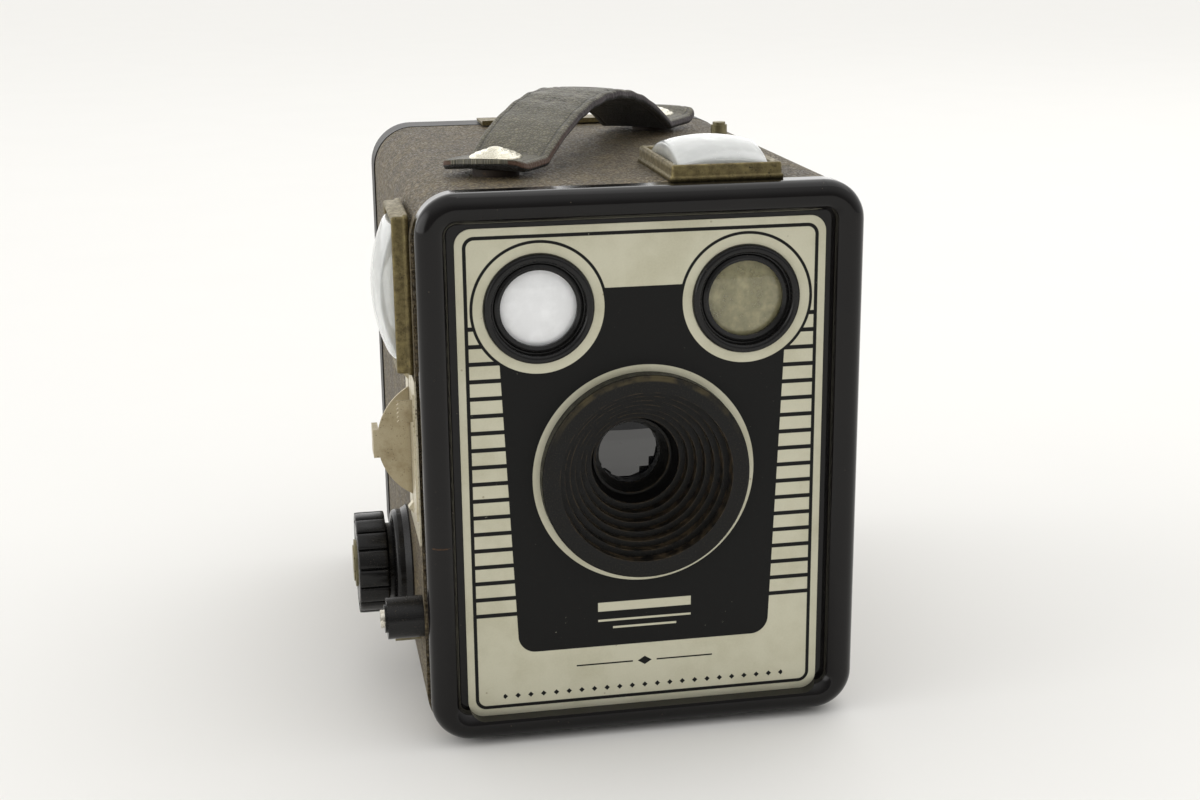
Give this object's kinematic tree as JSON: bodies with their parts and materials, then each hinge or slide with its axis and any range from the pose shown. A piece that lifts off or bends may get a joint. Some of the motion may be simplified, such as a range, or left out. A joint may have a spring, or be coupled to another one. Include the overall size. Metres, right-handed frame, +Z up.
{
  "type": "box camera",
  "caption": "Box-shaped roll-film camera with a glossy front, stepped lens hood, two reflecting finders, leather strap, winding knob and hinged back.",
  "frame": {"origin": "middle of the base, on the surface that the camera stands on", "axes": "+X across the camera, to the right as seen from in front; +Y from the lens to the back; +Z up"},
  "size_m": [0.1001, 0.1194, 0.1242],
  "materials": {
    "black_steel": "satin black enamel",
    "covering": "dark brown grained imitation leather",
    "gloss_black": "gloss black enamel",
    "printed_plate": "satin cream and black print",
    "hood_black": "satin black moulding",
    "ring_black": "gloss black moulding",
    "finder_glass": "clear, a little dusty",
    "inner_black": "matt black",
    "mirror": "silvered glass",
    "tarnished_nickel": "tarnished nickel plate",
    "lens_glass": "clear",
    "board_steel": "plain steel",
    "lever_metal": "dull, stained nickel plate",
    "cream_metal": "nickel plate, yellowed",
    "black_plastic": "polished black moulding",
    "contact_metal": "plated",
    "aged_brass": "dull, tarnished",
    "strap_leather": "worn dark olive leather",
    "rivet_nickel": "nickel plate",
    "spacer_steel": "dark",
    "red_window": "red",
    "spool_enamel": "enamel"
  },
  "bodies": {
    "camera_body": {"body_shell": "black_steel", "side_covering": "covering", "base_covering": "covering", "front_bezel": "gloss_black", "front_plate": "printed_plate", "lens_hood": "hood_black", "finder_ring_left": "ring_black", "finder_ring_right": "ring_black", "finder_lens_left": "finder_glass", "finder_lens_right": "finder_glass", "finder_housing": "inner_black", "top_mirror": "mirror", "side_mirror": "mirror", "top_finder_frame": "tarnished_nickel", "top_finder_glass": "finder_glass", "side_finder_frame": "tarnished_nickel", "side_finder_glass": "finder_glass", "taking_lens": "lens_glass", "lens_retainer": "hood_black", "lens_board": "inner_black", "board_spacers": "board_steel", "shutter_board": "inner_black", "board_screws": "board_steel", "side_escutcheon": "cream_metal", "flash_socket": "black_plastic", "flash_contact": "contact_metal", "flash_pin": "aged_brass", "light_cone": "inner_black", "carrier_side_left": "inner_black", "carrier_side_right": "inner_black", "film_gate": "inner_black", "spool_pin": "board_steel", "supply_pins": "board_steel", "shaft_bush": "board_steel", "knob_seat": "black_plastic", "strap": "strap_leather", "strap_rivets": "rivet_nickel", "strap_spacers": "spacer_steel", "top_peg": "aged_brass", "body_hinge_leaf": "board_steel", "hinge_pin": "board_steel", "lever_spring": "board_steel"},
    "back_door": {"door_pan": "black_steel", "door_covering": "covering", "red_window": "red_window", "window_ring": "hood_black", "door_hinge_leaf": "board_steel", "catch_bracket": "tarnished_nickel"},
    "catch": {"door_catch": "tarnished_nickel"},
    "pull_sleeve": {"shaft_sleeve": "board_steel"},
    "knob": {"winding_knob": "black_plastic", "knob_disc": "aged_brass", "winding_shaft": "board_steel"},
    "take_up": {"take_up_spool": "spool_enamel"},
    "release_lever": {"shutter_lever": "lever_metal"},
    "rotary_disc": {"shutter_disc": "inner_black"},
    "close_up": {"close_up_lever": "lever_metal", "close_up_lens": "lens_glass"},
    "roller_top": {"upper_roller": "board_steel"},
    "roller_bottom": {"lower_roller": "board_steel"}
  },
  "joints": [
    {"name": "back_hinge", "type": "hinge", "parent": "camera_body", "child": "back_door", "pos_m": [0, 0.0506, 0.0016], "axis": [-1, 0, 0], "range_deg": [0, 90]},
    {"name": "catch_spring", "type": "hinge", "parent": "back_door", "child": "catch", "pos_m": [0, 0.0555, 0.1117], "axis": [-1, 0, 0], "range_deg": [0, 8], "stiffness_Nm_per_rad": 0.05},
    {"name": "knob_pull", "type": "slide", "parent": "camera_body", "child": "pull_sleeve", "axis": [-1, 0, 0], "range_m": [0, 0.008]},
    {"name": "knob_turn", "type": "hinge", "parent": "pull_sleeve", "child": "knob", "pos_m": [-0.05, -0.017, 0.0251], "axis": [-1, 0, 0], "continuous": true},
    {"name": "spool_turn", "type": "hinge", "parent": "camera_body", "child": "take_up", "pos_m": [0, -0.017, 0.0251], "axis": [-1, 0, 0], "continuous": true},
    {"name": "lever_press", "type": "hinge", "parent": "camera_body", "child": "release_lever", "pos_m": [-0.0376, -0.039, 0.0587], "axis": [0, -1, 0], "range_deg": [0, 20], "stiffness_Nm_per_rad": 0.05},
    {"name": "disc_turn", "type": "hinge", "parent": "camera_body", "child": "rotary_disc", "pos_m": [0.012, -0.0402, 0.046], "axis": [0, -1, 0], "range_deg": [0, 80]},
    {"name": "close_up_swing", "type": "hinge", "parent": "camera_body", "child": "close_up", "pos_m": [-0.031, -0.0473, 0.0674], "axis": [0, -1, 0], "range_deg": [0, 32]},
    {"name": "upper_roller_turn", "type": "hinge", "parent": "camera_body", "child": "roller_top", "pos_m": [0, 0.0465, 0.1015], "axis": [1, 0, 0], "continuous": true},
    {"name": "lower_roller_turn", "type": "hinge", "parent": "camera_body", "child": "roller_bottom", "pos_m": [0, 0.0465, 0.0069], "axis": [1, 0, 0], "continuous": true}
  ],
  "couplings": [
    {"joint": "spool_turn", "follows": "knob_turn", "ratio": 1},
    {"joint": "disc_turn", "follows": "lever_press", "ratio": 4}
  ]
}
